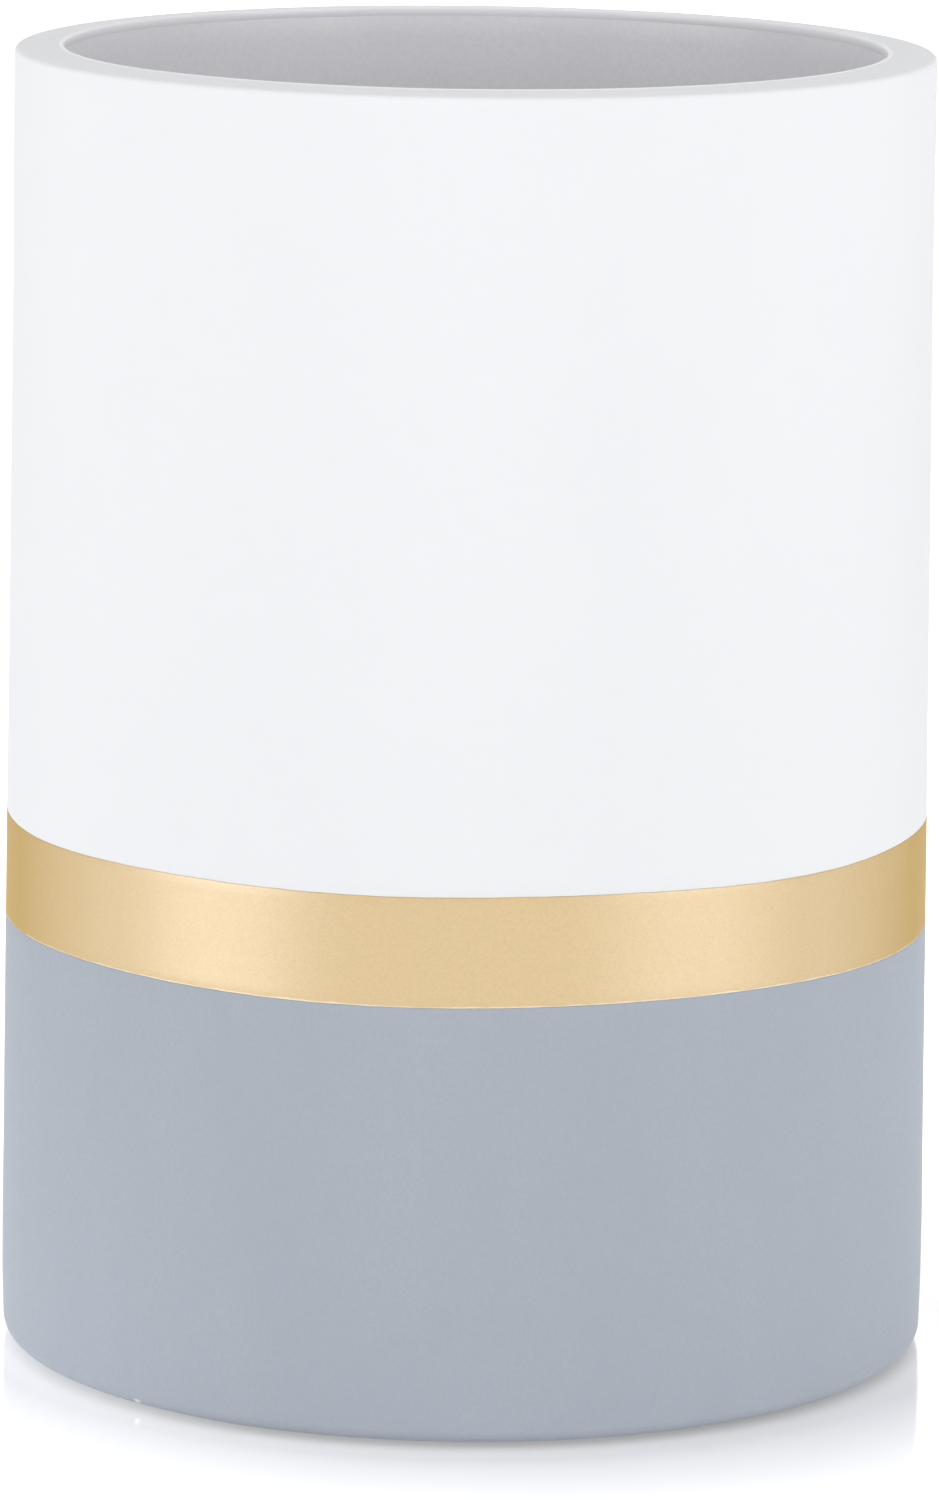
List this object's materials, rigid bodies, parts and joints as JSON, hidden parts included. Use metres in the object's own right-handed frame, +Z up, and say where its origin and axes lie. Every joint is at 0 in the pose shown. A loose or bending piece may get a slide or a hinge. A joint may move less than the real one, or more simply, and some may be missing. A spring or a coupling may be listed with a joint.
{
  "type": "bathroom tumbler",
  "caption": "Thick-walled round tumbler with a matt white upper wall, a flush gold band and a blue-grey lower wall, open at the top and standing on a thin foam pad.",
  "frame": {"origin": "centre of the surface that the tumbler stands on, which is the lower face of the base pad", "axes": "+Z up along the tumbler's axis, out of its mouth; X and Y are equivalent, because every piece is round"},
  "size_m": [0.0762, 0.0762, 0.1064],
  "materials": {
    "cast_resin": "bare filled polyester resin, pale and chalky, as it comes from the mould",
    "white_finish": "matt to satin white lacquer",
    "gold_finish": "satin metallic gold lacquer with a fine flake",
    "grey_finish": "matt blue-grey lacquer",
    "bore_finish": "satin off-white sealing lacquer",
    "adhesive_film": "pressure-sensitive adhesive film",
    "foam_rubber": "fine closed-cell foam rubber, off-white"
  },
  "bodies": {
    "root": {"cast_cup": "cast_resin", "white_coat": "white_finish", "gold_band": "gold_finish", "grey_coat": "grey_finish", "bore_lining": "bore_finish", "pad_adhesive": "adhesive_film", "base_pad": "foam_rubber"}
  },
  "joints": []
}
